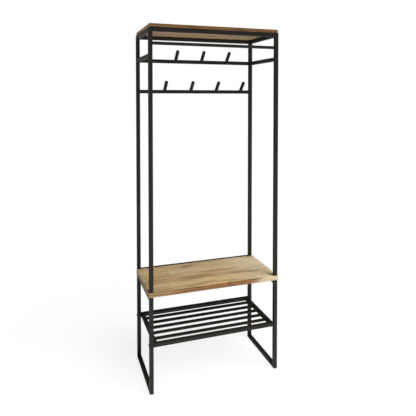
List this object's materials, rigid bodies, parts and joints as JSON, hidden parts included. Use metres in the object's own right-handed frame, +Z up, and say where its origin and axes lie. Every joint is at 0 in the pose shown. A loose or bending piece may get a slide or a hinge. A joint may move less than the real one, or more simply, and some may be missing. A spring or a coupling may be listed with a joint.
{
  "type": "hall tree",
  "caption": "Free-standing hall tree: square-tube steel frame with a wooden bench, wooden top board, hanging bar, slanting coat pegs and an open shoe rack.",
  "frame": {"origin": "on the floor, under the middle of the whole object", "axes": "+Z up, +X to the right seen from the front, -Y to the front, where the pegs point"},
  "size_m": [0.71, 0.358, 1.83],
  "materials": {
    "frame_steel": "satin black powder coat on square steel tube and round bar",
    "pegs": "satin black powder coat on round steel bar with domed ends",
    "bench_wood": "matt oiled, edge-glued light brown hardwood strips",
    "top_wood": "matt oiled, edge-glued brown hardwood strips",
    "bolt_heads": "black-coated button-head bolts",
    "fasteners": "zinc-plated screws, plugs and spigots, mostly hidden"
  },
  "bodies": {
    "root": {"bench_board": "bench_wood", "bench_rear_rail": "frame_steel", "bench_screw_front_left": "fasteners", "bench_screw_front_right": "fasteners", "bench_screw_rear_left": "fasteners", "bench_screw_rear_right": "fasteners", "bench_side_rail_left": "frame_steel", "bench_side_rail_right": "frame_steel", "floor_runner_left": "frame_steel", "floor_runner_right": "frame_steel", "front_leg_left": "frame_steel", "front_leg_right": "frame_steel", "front_post_left": "frame_steel", "front_post_right": "frame_steel", "hanging_bar": "frame_steel", "lock_screw_left": "fasteners", "lock_screw_right": "fasteners", "lower_hook_rail": "frame_steel", "lower_peg_1": "pegs", "lower_peg_2": "pegs", "lower_peg_3": "pegs", "lower_peg_4": "pegs", "post_spigot_left": "fasteners", "post_spigot_right": "fasteners", "rack_bar_1": "frame_steel", "rack_bar_2": "frame_steel", "rack_bar_3": "frame_steel", "rack_bar_4": "frame_steel", "rack_bar_5": "frame_steel", "rack_bolt_front_left": "bolt_heads", "rack_bolt_front_right": "bolt_heads", "rack_bolt_rear_left": "bolt_heads", "rack_bolt_rear_right": "bolt_heads", "rack_plug_front_left": "fasteners", "rack_plug_front_right": "fasteners", "rack_plug_rear_left": "fasteners", "rack_plug_rear_right": "fasteners", "rack_rail_front": "frame_steel", "rack_rail_left": "frame_steel", "rack_rail_rear": "frame_steel", "rack_rail_right": "frame_steel", "rear_post_left": "frame_steel", "rear_post_right": "frame_steel", "side_rail_left": "frame_steel", "side_rail_right": "frame_steel", "top_board": "top_wood", "top_rail_front": "frame_steel", "top_rail_left": "frame_steel", "top_rail_rear": "frame_steel", "top_rail_right": "frame_steel", "top_screw_front_left": "fasteners", "top_screw_front_right": "fasteners", "top_screw_rear_left": "fasteners", "top_screw_rear_right": "fasteners", "upper_hook_rail": "frame_steel", "upper_peg_1": "pegs", "upper_peg_2": "pegs", "upper_peg_3": "pegs"}
  },
  "joints": []
}
